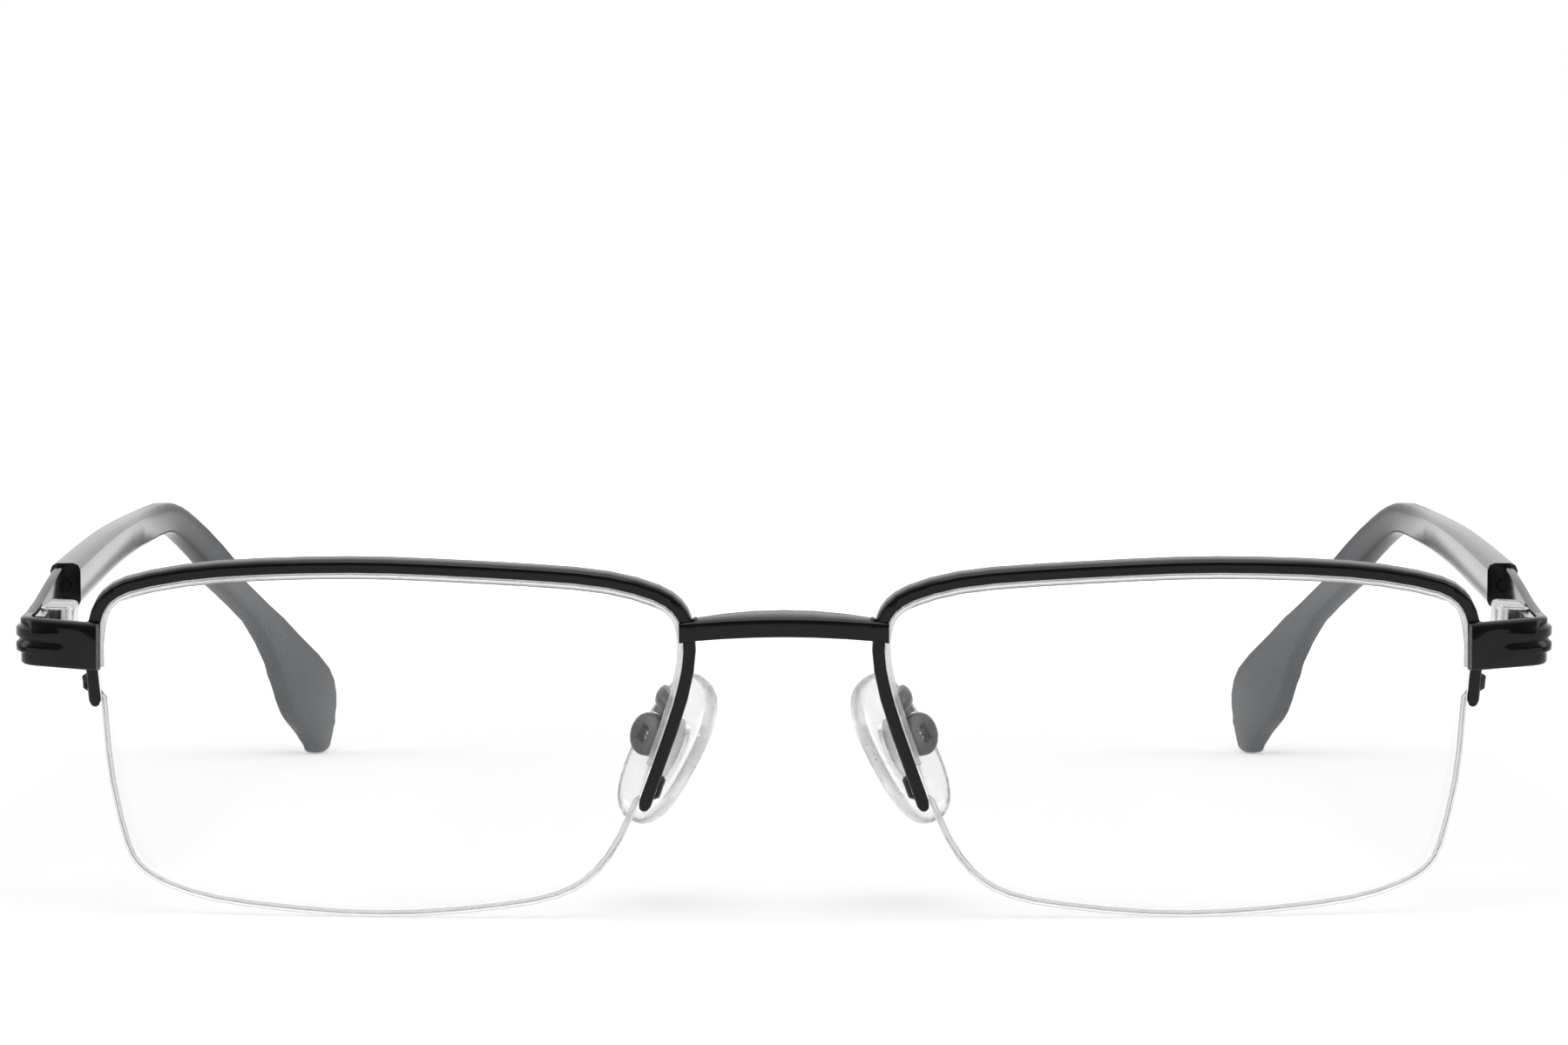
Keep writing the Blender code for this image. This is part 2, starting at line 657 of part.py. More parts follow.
class TempleFrame:
    """The hinge's place and the direction in which a temple runs, for a given rise to the back."""

    def __init__(self, front, rise):
        self.rise = rise
        self.back = Vector((0, math.cos(rise), math.sin(rise)))
        self.up = Vector((0, -math.sin(rise), math.cos(rise)))
        start_u = LENS_TEMPORAL
        depth = RIM_FRONT - SEAT_GAP - PLATE_THICKNESS / 2
        self.start = front.point(1, start_u, PLATE_MIDDLE_V, depth)
        near = front.point(1, start_u - PLATE_THICKNESS, PLATE_MIDDLE_V, depth)
        self.outward = (self.start - near).normalized()
        reach = (CORNER_OUT - self.start.x) / self.outward.x
        self.corner = self.start + self.outward * reach
        inner_face = CORNER_OUT - PLATE_THICKNESS / 2
        self.hinge_x = inner_face - HINGE_SEAT - KNUCKLE_RADIUS
        at = self.corner + self.back * (PLATE_BEHIND_CORNER + HINGE_BEHIND_PLATE)
        self.pivot = Vector((self.hinge_x, at.y, at.z))


def endpiece_profile(rise, groove):
    """(n, h) of the plate's section: n outward from its middle, h up. The band stands by rise."""
    n = PLATE_THICKNESS / 2
    half = PLATE_HEIGHT / 2
    cut = PLATE_EDGE_BREAK
    low = BAND_ABOVE_MIDDLE - BAND_HEIGHT / 2
    high = low + BAND_HEIGHT
    middle = BAND_ABOVE_MIDDLE
    out = n + BAND_PROUD * rise
    in_groove = out - GROOVE_DEPTH * groove
    return [
        (-n, -half), (n - cut, -half), (n, -half + cut), (n, low - BAND_STEP), (out, low),
        (out, middle - GROOVE_WIDTH), (in_groove, middle - GROOVE_WIDTH / 4),
        (in_groove, middle + GROOVE_WIDTH / 4), (out, middle + GROOVE_WIDTH),
        (out, high), (n, high + BAND_STEP), (n, half - cut), (n - cut, half), (-n, half),
    ]


def add_endpiece(front, temple, side, name):
    """The plate from the eyewire's front face round the corner to the hinge."""
    up_front = front.up_along(1, LENS_TEMPORAL, PLATE_MIDDLE_V)
    turn = temple.outward.angle(temple.back)
    trim = CORNER_RADIUS * math.tan(turn / 2)
    straight = (temple.corner - temple.start).length - trim
    behind = PLATE_BEHIND_CORNER - trim
    places = []
    for share in PLATE_FACE_SHARES:
        point = temple.start + temple.outward * straight * share
        places.append((point, temple.outward, 0.0, straight * share))
    centre_way = (temple.back - temple.outward * temple.back.dot(temple.outward)).normalized()
    first = temple.start + temple.outward * straight
    centre = first + centre_way * CORNER_RADIUS
    for k in range(1, CORNER_STEPS + 1):
        angle = turn * k / CORNER_STEPS
        point = centre - centre_way * CORNER_RADIUS * math.cos(angle)
        point += temple.outward * CORNER_RADIUS * math.sin(angle)
        along = temple.outward * math.cos(angle) + centre_way * math.sin(angle)
        places.append((point, along, angle / turn, straight + CORNER_RADIUS * angle))
    last = temple.corner + temple.back * PLATE_BEHIND_CORNER
    total = straight + CORNER_RADIUS * turn + behind
    places.append((last, temple.back, 1.0, total))
    rings = []
    for point, along, share, run in places:
        up = up_front.lerp(temple.up, share)
        up = (up - along * up.dot(along)).normalized()
        out = along.cross(up).normalized()
        rise = max(0.0, min(1.0, (run - GROOVE_START) / (straight - GROOVE_START + BAND_FADE)))
        groove = max(0.0, min(1.0, (run - GROOVE_START) / BAND_FADE))
        ring = [point + out * n + up * h for n, h in endpiece_profile(rise, groove)]
        rings.append([Vector((p.x * side, p.y, p.z)) for p in ring])
    return loft(name, rings, "black_metal")


class Carrier:
    """An empty at an origin, with its own axes, that pieces are placed on."""

    def __init__(self, name, parent, origin, axes):
        turn = Matrix([list(axis) for axis in axes]).transposed()
        self.matrix = Matrix.Translation(origin) @ turn.to_4x4()
        self.inverse = self.matrix.inverted()
        self.empty = bpy.data.objects.new(name, None)
        self.empty.parent = parent
        self.empty.matrix_basis = self.matrix
        bpy.context.scene.collection.objects.link(self.empty)

    def points(self, ring):
        return [self.inverse @ point for point in ring]


def knuckle(bm, low, high, radius):
    cylinder_into(bm, Vector((0, 0, (low + high) / 2)), Vector((0, 0, 1)), radius, high - low)


def add_hinge(fixed, swing, side, label):
    """Two knuckles on the front leaf, one on the temple's block, and the screw through them."""
    half = HINGE_HEIGHT / 2
    middle_half = HINGE_HEIGHT / 6
    gap = RUNNING_GAP
    bore = SCREW_RADIUS + RUNNING_GAP
    trim = CORNER_RADIUS * math.tan(math.radians(SQUARE_CORNER_DEG) / 2)
    reach = HINGE_BEHIND_PLATE + PLATE_BEHIND_CORNER - trim
    outer = KNUCKLE_RADIUS + LEAF_PROUD
    inner = outer - LEAF_THICKNESS
    parts = bmesh.new()
    leaf_half = PLATE_HEIGHT / 2 - PLATE_EDGE_BREAK
    box_into(parts, (min(side * inner, side * outer), -reach, -leaf_half),
             (max(side * inner, side * outer), LEAF_THICKNESS / 4, leaf_half))
    front_leaf = object_from("hinge_front_leaf_" + label, parts, "steel", fixed.empty)
    for word, low, high in (
        ("upper", middle_half + gap / 2, half), ("lower", -half, -middle_half - gap / 2),
    ):
        barrel = bmesh.new()
        knuckle(barrel, low, high, KNUCKLE_RADIUS)
        boolean(front_leaf, cutter(word + "_knuckle_" + label, barrel, fixed.empty), "UNION")
    room = bmesh.new()
    clear = KNUCKLE_RADIUS + 2 * gap
    box_into(room, (-clear, -clear, -middle_half - gap / 2), (clear, clear, middle_half + gap / 2))
    boolean(front_leaf, cutter("middle_room_" + label, room, fixed.empty), "DIFFERENCE")
    hole = bmesh.new()
    knuckle(hole, -half - OVERRUN, half + OVERRUN, bore)
    bore_cut = cutter("screw_bore_" + label, hole, fixed.empty)
    boolean(front_leaf, bore_cut, "DIFFERENCE")
    sink = bmesh.new()
    knuckle(sink, half - SCREW_HEAD_HEIGHT - gap, half + OVERRUN, SCREW_HEAD_RADIUS + gap)
    boolean(front_leaf, cutter("screw_sink_" + label, sink, fixed.empty), "DIFFERENCE")

    block = bmesh.new()
    start = KNUCKLE_RADIUS + 2 * SEAT_GAP
    box_into(block, (-KNUCKLE_RADIUS, start, -half), (KNUCKLE_RADIUS, HINGE_BLOCK_BACK, half))
    rear = object_from("hinge_rear_leaf_" + label, block, "steel", swing.empty)
    soft = rear.modifiers.new("rounded_edges", "BEVEL")
    soft.width = HINGE_BLOCK_ROUND
    soft.segments = 2
    web = bmesh.new()
    edge = KNUCKLE_RADIUS - LEAF_THICKNESS / 2
    box_into(web, (min(-side * edge / 2, side * edge), 0, -middle_half + gap / 2),
             (max(-side * edge / 2, side * edge), start + HINGE_BLOCK_ROUND * 2, middle_half - gap / 2))
    boolean(rear, cutter("web_" + label, web, swing.empty), "UNION")
    barrel = bmesh.new()
    knuckle(barrel, -middle_half + gap / 2, middle_half - gap / 2, KNUCKLE_RADIUS)
    boolean(rear, cutter("middle_knuckle_" + label, barrel, swing.empty), "UNION")
    hole = bmesh.new()
    knuckle(hole, -half, half, bore)
    boolean(rear, cutter("rear_bore_" + label, hole, swing.empty), "DIFFERENCE")

    pin = bmesh.new()
    knuckle(pin, -half, half - SCREW_HEAD_HEIGHT / 2, SCREW_RADIUS)
    screw = object_from("hinge_screw_" + label, pin, "steel", fixed.empty)
    head = bmesh.new()
    knuckle(head, half - SCREW_HEAD_HEIGHT, half, SCREW_HEAD_RADIUS)
    boolean(screw, cutter("screw_head_" + label, head, fixed.empty), "UNION")
    slot = bmesh.new()
    box_into(slot, (-SCREW_HEAD_RADIUS - OVERRUN, -SCREW_SLOT_WIDTH / 2, half - SCREW_SLOT_DEPTH),
             (SCREW_HEAD_RADIUS + OVERRUN, SCREW_SLOT_WIDTH / 2, half + OVERRUN))
    boolean(screw, cutter("screw_slot_" + label, slot, fixed.empty), "DIFFERENCE")


def rounded_section(half_width, half_thickness, radius):
    """(across, thick) round a rectangle with round corners."""
    corners = (
        corner_arc(half_width - radius, half_thickness - radius, radius, 0.0)
        + corner_arc(-half_width + radius, half_thickness - radius, radius, 90.0)
        + corner_arc(-half_width + radius, -half_thickness + radius, radius, 180.0)
        + corner_arc(half_width - radius, -half_thickness + radius, radius, 270.0)
    )
    return corners


class TempleArm:
    """The arm's middle line and widths, in the temple's (b, h), and its bow towards the head."""

    def __init__(self):
        span = ARM_REACH - ARM_FRONT
        line = [(ARM_FRONT + a * span, c * ARM_HEIGHT, w * ARM_HEIGHT)
                for (a, c), w in zip(ARM_LINE_SHARES, ARM_WIDTH_SHARES)]
        drop = math.radians(TAIL_DROP_DEG)
        for (a, c), w in zip(TAIL_LINE_SHARES, TAIL_WIDTH_SHARES):
            along, aside = a * TAIL_LENGTH, c * TAIL_LENGTH
            line.append((
                ARM_REACH + along * math.cos(drop) + aside * math.sin(drop),
                TAIL_START_SHARE * ARM_HEIGHT - along * math.sin(drop) + aside * math.cos(drop),
                w * TAIL_WIDTH,
            ))
        self.line = spline(line, ARM_DENSE)
        self.tip_b = self.line[-1][0]
        self.step = float(np.linalg.norm(self.line[1][:2] - self.line[0][:2]))
        self.plate_x = KNUCKLE_RADIUS + HINGE_SEAT + TEMPLE_PLATE_THICKNESS / 2

    def x(self, b):
        past = max(0.0, b - BOW_START) / (self.tip_b - BOW_START)
        return self.plate_x - ARM_INWARD - TIP_INWARD * past**2

    def stations(self):
        """(b, h, width, along b, along h, share of length) at each ring, closer together in the tail."""
        steps = np.diff(self.line[:, :2], axis=0)
        heading = np.unwrap(np.arctan2(steps[:, 1], steps[:, 0]))
        length = np.linalg.norm(steps, axis=1)
        cost = length / length.sum() + np.abs(np.gradient(heading)) * 2 / math.pi
        spent = np.concatenate([[0.0], np.cumsum(cost)])
        wanted = np.linspace(0.0, spent[-1], ARM_RINGS)
        share = np.interp(wanted, spent, np.linspace(0.0, 1.0, len(spent)))
        out = []
        for s in share:
            place = s * (len(self.line) - 1)
            low = min(int(place), len(self.line) - 2)
            b, h, width = self.line[low] + (self.line[low + 1] - self.line[low]) * (place - low)
            way = self.line[low + 1][:2] - self.line[low][:2]
            way = way / np.linalg.norm(way)
            out.append((b, h, width, way[0], way[1], s))
        return out

    def rings(self):
        found = []
        stations = self.stations()
        for b, h, width, along_b, along_h, share in stations:
            found.append(self.ring(b, h, width / 2, along_b, along_h, share, 0.0))
        b, h, width, along_b, along_h, share = stations[-1]
        for angle in TIP_END_ANGLES_DEG:
            turn = math.radians(angle)
            reach = TIP_END_ROUND * math.sin(turn)
            drawn = TIP_END_ROUND * (1 - math.cos(turn))
            found.append(self.ring(b + along_b * reach, h + along_h * reach, width / 2 - drawn,
                                   along_b, along_h, share, drawn))
        return found

    def ring(self, b, h, half_width, along_b, along_h, share, drawn):
        thick = ARM_THICKNESS + (TIP_THICKNESS - ARM_THICKNESS) * share
        half = thick / 2 - drawn * ARM_CORNER_SHARE
        radius = half * 2 * ARM_CORNER_SHARE
        ring = []
        for across, aside in rounded_section(half_width, half, radius):
            pb = b - along_h * across
            ph = h + along_b * across
            ring.append((self.x(pb) + aside, pb, ph))
        return ring


def set_in_frame(temple, side, points):
    """Points (x, b, h) of a temple as places in the whole frame."""
    pivot = Vector((temple.pivot.x * side, temple.pivot.y, temple.pivot.z))
    across = Vector((side, 0, 0))
    return [pivot + across * x + temple.back * b + temple.up * h for x, b, h in points]


def add_temple(temple, arm, swing, side, label):
    plate = []
    start = -HINGE_BEHIND_PLATE + STOP_GAP
    end = ARM_FRONT - SEAT_GAP
    front_half = TEMPLE_PLATE_HEIGHT / 2
    end_middle = arm.line[0][1]
    end_half = arm.line[0][2] / 2 * PLATE_END_SHARE
    for share in TEMPLE_PLATE_SHARES:
        b = start + (end - start) * share
        ease = share * share * (3 - 2 * share)
        middle = end_middle * ease
        half = front_half + (end_half - front_half) * ease
        section = rounded_section(half, TEMPLE_PLATE_THICKNESS / 2, PLATE_EDGE_BREAK)
        plate.append([(arm.plate_x + aside, b, middle + across) for across, aside in section])
    rings = [swing.points(set_in_frame(temple, side, ring)) for ring in plate]
    loft("temple_plate_" + label, rings, "black_metal", swing.empty)

    rings = [swing.points(set_in_frame(temple, side, ring)) for ring in arm.rings()]
    body = loft("temple_arm_" + label, rings, "black_plastic", swing.empty)

    count = CORE_POINTS
    line = arm.line[: int(CORE_LENGTH / arm.step)]
    picked = [line[int(k * (len(line) - 1) / count)] for k in range(count + 1)]
    inside = [(arm.x(b), b, h) for b, h, width in picked]
    ahead = inside[1][1] - inside[0][1]
    fall = (inside[1][2] - inside[0][2]) / ahead
    before = (arm.x(inside[0][1]), inside[0][1] - OVERRUN, inside[0][2] - OVERRUN * fall)
    beyond = (inside[-1][0], inside[-1][1] + SEAT_GAP, inside[-1][2] + SEAT_GAP * fall)
    wire = swing.points(set_in_frame(temple, side, inside))
    tube("core_wire_" + label, wire, CORE_RADIUS, CORD_SIDES, "steel", swing.empty)
    bore = swing.points(set_in_frame(temple, side, [before] + inside[1:-1] + [beyond]))
    hollow = tube("core_bore_" + label, bore, CORE_RADIUS + SEAT_GAP, CORD_SIDES, "steel", swing.empty)
    hollow.hide_render = True
    hollow.display_type = "WIRE"
    boolean(body, hollow, "DIFFERENCE")


class PadPlace:
    """Where a nose pad stands: its middle, and its long, wide and thick directions."""

    def __init__(self, front, side):
        self.side = side
        self.middle = front.point(side, PAD_OUT, PAD_UP, PAD_BEHIND)
        flare, back = math.radians(PAD_FLARE_DEG), math.radians(PAD_TIP_BACK_DEG)
        splay = math.radians(PAD_SPLAY_DEG)
        long_way = Vector((side * math.tan(flare), math.tan(back), -1.0)).normalized()
        wide = Vector((side * math.sin(splay), math.cos(splay), 0.0))
        self.long = long_way
        self.wide = (wide - long_way * wide.dot(long_way)).normalized()
        out = self.wide.cross(self.long).normalized()
        self.out = out if out.x * side > 0 else -out
        stand = PAD_THICKNESS / 2 + PAD_BOX_STAND + PAD_BOX_THICKNESS / 2
        self.box = self.middle + self.out * stand - self.long * PAD_BOX_ABOVE

    def at(self, wide, long, out):
        return self.middle + self.wide * wide + self.long * long + self.out * out


def add_nose_pad(place, swing, label):
    """An oval pad, flat towards its box and crowned towards the nose, with a seat for its core."""
    rings = []
    for share, level in PAD_RING_SHARES:
        ring = []
        for k in range(PAD_ROUND_POINTS):
            angle = 2 * math.pi * k / PAD_ROUND_POINTS
            c, s = math.cos(angle), math.sin(angle)
            power = 2 / PAD_CROWN_SQUARENESS
            wide = PAD_WIDTH / 2 * share * math.copysign(abs(c) ** power, c)
            half_long = PAD_LENGTH / 2 - PAD_WIDTH / 2 * (1 - share)
            long = half_long * math.copysign(abs(s) ** power, s)
            ring.append(place.at(wide, long, -level * PAD_THICKNESS))
        rings.append(swing.points(ring))
    pad = loft("nose_pad_" + label, rings, "clear_silicone", swing.empty)
    half = Vector((PAD_CORE_WIDTH / 2, PAD_CORE_LENGTH / 2, 0))
    floor = PAD_THICKNESS / 2 - PAD_CORE_THICKNESS
    seat = bmesh.new()
    cube = bmesh.ops.create_cube(seat, size=1.0)["verts"]
    for vert in cube:
        wide = vert.co.x * 2 * (half.x + SEAT_GAP)
        long = vert.co.y * 2 * (half.y + SEAT_GAP) - PAD_BOX_ABOVE
        out = floor - SEAT_GAP + (vert.co.z + 0.5) * (PAD_CORE_THICKNESS + OVERRUN)
        vert.co = swing.inverse @ place.at(wide, long, out)
    boolean(pad, cutter("core_seat_" + label, seat, swing.empty), "DIFFERENCE")


def block_in(place, carrier, wide, long, low, high, above):
    """A box square to the pad: half sizes across and along, from low to high out of the pad's middle."""
    bm = bmesh.new()
    for vert in bmesh.ops.create_cube(bm, size=1.0)["verts"]:
        out = low + (vert.co.z + 0.5) * (high - low)
        spot = place.at(vert.co.x * 2 * wide, vert.co.y * 2 * long - above, out)
        vert.co = carrier.inverse @ spot
    return bm


def add_pad_fittings(place, fixed, swing, label):
    box_low = PAD_THICKNESS / 2 + PAD_BOX_STAND
    box_high = box_low + PAD_BOX_THICKNESS
    across = place.wide
    plate_low = PAD_THICKNESS / 2 - PAD_CORE_THICKNESS
    core = object_from("pad_core_" + label, block_in(
        place, swing, PAD_CORE_WIDTH / 2, PAD_CORE_LENGTH / 2, plate_low, PAD_THICKNESS / 2, PAD_BOX_ABOVE,
    ), "clear_silicone", swing.empty)
    tongue = block_in(place, swing, PAD_SLOT_WIDTH / 2 - SEAT_GAP, PAD_SLOT_HEIGHT / 2 - PAD_ROCK_ROOM,
                      plate_low + SEAT_GAP, box_high - PAD_ROCK_ROOM, PAD_BOX_ABOVE)
    boolean(core, cutter("tongue_" + label, tongue, swing.empty), "UNION")
    pin_way = swing.inverse.to_3x3() @ across
    pin_middle = swing.inverse @ place.box
    hole = bmesh.new()
    cylinder_into(hole, pin_middle, pin_way, PAD_SCREW_RADIUS + RUNNING_GAP, PAD_BOX_RADIUS * 3, SCREW_SIDES)
    boolean(core, cutter("tongue_hole_" + label, hole, swing.empty), "DIFFERENCE")

    disc = bmesh.new()
    cylinder_into(disc, fixed.inverse @ place.box, fixed.inverse.to_3x3() @ place.out,
                  PAD_BOX_RADIUS, PAD_BOX_THICKNESS)
    box = object_from("pad_box_" + label, disc, "dark_steel", fixed.empty)
    soft = box.modifiers.new("rounded_edges", "BEVEL")
    soft.width = PAD_BOX_ROUND
    soft.segments = 2
    slot = block_in(place, fixed, PAD_SLOT_WIDTH / 2, PAD_SLOT_HEIGHT / 2,
                    box_low - OVERRUN, box_high + OVERRUN, PAD_BOX_ABOVE)
    boolean(box, cutter("tongue_slot_" + label, slot, fixed.empty), "DIFFERENCE")
    hole = bmesh.new()
    cylinder_into(hole, fixed.inverse @ place.box, fixed.inverse.to_3x3() @ across,
                  PAD_SCREW_RADIUS + RUNNING_GAP, PAD_BOX_RADIUS * 3, SCREW_SIDES)
    boolean(box, cutter("pad_screw_hole_" + label, hole, fixed.empty), "DIFFERENCE")
    pin = bmesh.new()
    cylinder_into(pin, fixed.inverse @ place.box, fixed.inverse.to_3x3() @ across,
                  PAD_SCREW_RADIUS, PAD_BOX_RADIUS * 2, SCREW_SIDES)
    object_from("pad_screw_" + label, pin, "steel", fixed.empty)


def add_pad_arm(front, edge, place, side, fixed, label):
    """The flattened gooseneck from the back of the nasal limb, over a low arch, to the box."""
    index = edge.nasal_index(PAD_ARM_ROOT_V)
    u, v = edge.at(index, (RIM_INNER + RIM_OUTER) / 2)
    rearward = front.rearward(side, u, v)
    root = front.point(side, u, v, RIM_BACK) + rearward * SEAT_GAP
    foot = root + rearward * PAD_ARM_BACK / 3
    behind = front.point(side, u + PAD_ARM_ASIDE, v + PAD_ARM_ARCH / 2, RIM_BACK + PAD_ARM_BACK)
    lean = math.radians(PAD_ARM_LEAN_DEG)
    away = -place.long * math.cos(lean) - place.wide * math.sin(lean)
    reach = PAD_BOX_RADIUS + SEAT_GAP
    seat = place.box + away * reach
    over = seat + away * PAD_ARM_ARCH
    route = [foot, behind, over, seat]
    points = [root] + [Vector(p) for p in spline(route, PAD_ARM_POINTS)]
    points = fixed.points(points)
    facing = fixed.inverse.to_3x3() @ place.out
    tube("pad_arm_" + label, points, PAD_ARM_WIDTH / 2, PAD_ARM_SIDES, "dark_steel", fixed.empty,
         flat=PAD_ARM_THICKNESS / PAD_ARM_WIDTH, up=facing)


def settled_temple(front, arm):
    """The temple's frame with the rise at which its tip rests on the table."""
    low, high = 0.0, math.radians(STEEPEST_RISE_DEG)
    corners = [point for ring in arm.rings() for point in ring]
    for _ in range(RISE_HALVINGS):
        middle = (low + high) / 2
        temple = TempleFrame(front, middle)
        if min(p.z for p in set_in_frame(temple, 1, corners)) < 0:
            low = middle
        else:
            high = middle
    return TempleFrame(front, high)


def footprint_middle():
    """Half way between the foremost and the rearmost point of what shows."""
    bpy.context.view_layer.update()
    graph = bpy.context.evaluated_depsgraph_get()
    low, high = math.inf, -math.inf
    for obj in bpy.data.objects:
        if obj.type != "MESH" or obj.hide_render:
            continue
        seen = obj.evaluated_get(graph)
        for vert in seen.data.vertices:
            y = (seen.matrix_world @ vert.co).y
            low, high = min(low, y), max(high, y)
    return (low + high) / 2


def main():
    clear_scene()
    root = bpy.data.objects.new("eyeglasses", None)
    bpy.context.scene.collection.objects.link(root)
    front = Front()
    edge = Edge()
    arm = TempleArm()
    temple = settled_temple(front, arm)
    whole = []
    whole.append(add_bridge(front, edge))
    for side, label in SIDES:
        whole.append(add_lens(front, edge, side, "lens_" + label))
        whole.append(add_eyewire(front, edge, side, "eyewire_" + label))
        whole.append(add_liner(front, edge, side, "rim_liner_" + label))
        whole.append(add_cord(front, edge, side, "nylon_cord_" + label))
        whole.append(add_endpiece(front, temple, side, "endpiece_" + label))
        across = Vector((1, 0, 0)) * math.cos(CANT) - temple.up * math.sin(CANT)
        axis = temple.up * math.cos(CANT) + Vector((1, 0, 0)) * math.sin(CANT)
        pivot = Vector((side * temple.pivot.x, temple.pivot.y, temple.pivot.z))
        axes = (across, temple.back, axis)
        fixed = Carrier("hinge_seat_" + label, root, pivot, axes)
        swing = Carrier("fold_axis_" + label, root, pivot, axes)
        add_hinge(fixed, swing, side, label)
        add_temple(temple, arm, swing, side, label)
        place = PadPlace(front, side)
        pad_axes = (place.wide, place.long, place.wide.cross(place.long))
        seat = Carrier("pad_seat_" + label, root, place.box, pad_axes)
        rock = Carrier("pad_axis_" + label, root, place.box, pad_axes)
        add_nose_pad(place, rock, label)
        add_pad_fittings(place, seat, rock, label)
        add_pad_arm(front, edge, place, side, seat, label)
    for obj in whole:
        for child in [obj] + [m.object for m in obj.modifiers if m.type == "BOOLEAN"]:
            child.parent = root
    root.location.y = -footprint_middle()


main()
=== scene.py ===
"""Looks for the semi-rimless eyeglasses: finishes, the moulded nose pads, floor, light and camera."""

import json
import math

import bmesh
import bpy
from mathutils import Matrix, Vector


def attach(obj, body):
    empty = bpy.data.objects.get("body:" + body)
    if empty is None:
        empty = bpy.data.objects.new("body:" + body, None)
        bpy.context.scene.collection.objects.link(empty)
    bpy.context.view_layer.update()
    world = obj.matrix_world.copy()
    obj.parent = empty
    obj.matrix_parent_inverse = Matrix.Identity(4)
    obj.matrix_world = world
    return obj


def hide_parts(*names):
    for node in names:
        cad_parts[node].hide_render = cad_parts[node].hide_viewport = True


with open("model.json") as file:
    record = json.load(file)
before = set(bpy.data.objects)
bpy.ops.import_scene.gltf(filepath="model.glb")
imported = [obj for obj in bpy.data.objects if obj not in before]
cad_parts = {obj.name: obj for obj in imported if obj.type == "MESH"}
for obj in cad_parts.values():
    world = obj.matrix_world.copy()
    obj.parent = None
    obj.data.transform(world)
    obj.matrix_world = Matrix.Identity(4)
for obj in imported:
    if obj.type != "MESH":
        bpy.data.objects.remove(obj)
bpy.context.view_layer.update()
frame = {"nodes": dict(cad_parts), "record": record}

MM = 0.001
SIDES = ("left", "right")
WELD_DISTANCE = 0.002 * MM
SMOOTH_UNDER_DEG = 50
LENS_SMOOTH_UNDER_DEG = 20
nodes = frame["nodes"]


class Nodes:
    """A node tree, with short ways to add nodes and links."""

    def __init__(self, tree):
        self.tree = tree

    def add(self, kind, **settings):
        node = self.tree.nodes.new(kind)
        for key, value in settings.items():
            setattr(node, key, value)
        return node

    def put(self, source, target):
        self.tree.links.new(source, target)

    def ramp(self, source, stops):
        node = self.add("ShaderNodeValToRGB")
        ramp = node.color_ramp
        while len(ramp.elements) < len(stops):
            ramp.elements.new(0.5)
        for element, (at, value) in zip(ramp.elements, stops):
            element.position = at
            element.color = (*value, 1.0) if isinstance(value, tuple) else (value, value, value, 1.0)
        self.put(source, node.inputs["Fac"])
        return node.outputs["Color"]

    def times(self, first, second):
        """One value or colour multiplied by the other."""
        node = self.add("ShaderNodeMix", data_type="RGBA", blend_type="MULTIPLY")
        node.inputs["Factor"].default_value = 1.0
        self.put(first, node.inputs["A"])
        self.put(second, node.inputs["B"])
        return node.outputs["Result"]

    def span(self, source, low, high, start, end, **settings):
        """The source's stretch from low to high, mapped to start and end."""
        node = self.add("ShaderNodeMapRange", **settings)
        for key, value in (("From Min", low), ("From Max", high), ("To Min", start), ("To Max", end)):
            node.inputs[key].default_value = value
        self.put(source, node.inputs["Value"])
        return node.outputs["Result"]

    def math(self, operation, *sources, **settings):
        node = self.add("ShaderNodeMath", operation=operation, **settings)
        for source, target in zip(sources, node.inputs):
            self.put(source, target)
        return node.outputs["Value"]

    def weighted(self, source, weight, added):
        """The source times a number, plus another source."""
        node = self.add("ShaderNodeMath", operation="MULTIPLY_ADD")
        self.put(source, node.inputs[0])
        node.inputs[1].default_value = weight
        self.put(added, node.inputs[2])
        return node.outputs["Value"]

    def axes(self, place):
        """The three coordinates of a place, by name."""
        split = self.add("ShaderNodeSeparateXYZ")
        self.put(place, split.inputs["Vector"])
        return split.outputs


class Finish(Nodes):
    """A material, with short ways to add what a real surface shows."""

    def __init__(self, name):
        self.material = bpy.data.materials.new(name)
        self.material.use_nodes = True
        super().__init__(self.material.node_tree)
        self.shader = self.tree.nodes["Principled BSDF"]
        self.place = self.add("ShaderNodeTexCoord").outputs["Object"]

    def set(self, **values):
        for key, value in values.items():
            self.shader.inputs[key.replace("_", " ")].default_value = value

    def noise(self, scale, detail=3.0, stretch=(1.0, 1.0, 1.0)):
        """Noise in metres: scale is how many blotches fit in a metre."""
        spread = self.add("ShaderNodeMapping")
        spread.inputs["Scale"].default_value = stretch
        self.put(self.place, spread.inputs["Vector"])
        node = self.add("ShaderNodeTexNoise")
        node.inputs["Scale"].default_value = scale
        node.inputs["Detail"].default_value = detail
        self.put(spread.outputs["Vector"], node.inputs["Vector"])
        return node.outputs["Fac"]

    def colour(self, source, stops):
        self.put(self.ramp(source, stops), self.shader.inputs["Base Color"])

    def rough(self, source, low, high):
        self.put(self.ramp(source, ((0.3, low), (0.7, high))), self.shader.inputs["Roughness"])

    def bump(self, source, strength, distance):
        node = self.add("ShaderNodeBump")
        node.inputs["Strength"].default_value = strength
        node.inputs["Distance"].default_value = distance
        self.put(source, node.inputs["Height"])
        self.put(node.outputs["Normal"], self.shader.inputs["Normal"])


# Along Y, where the arms' black goes over to grey
GREY_STARTS = 22.0 * MM
GREY_ENDS = 52.0 * MM

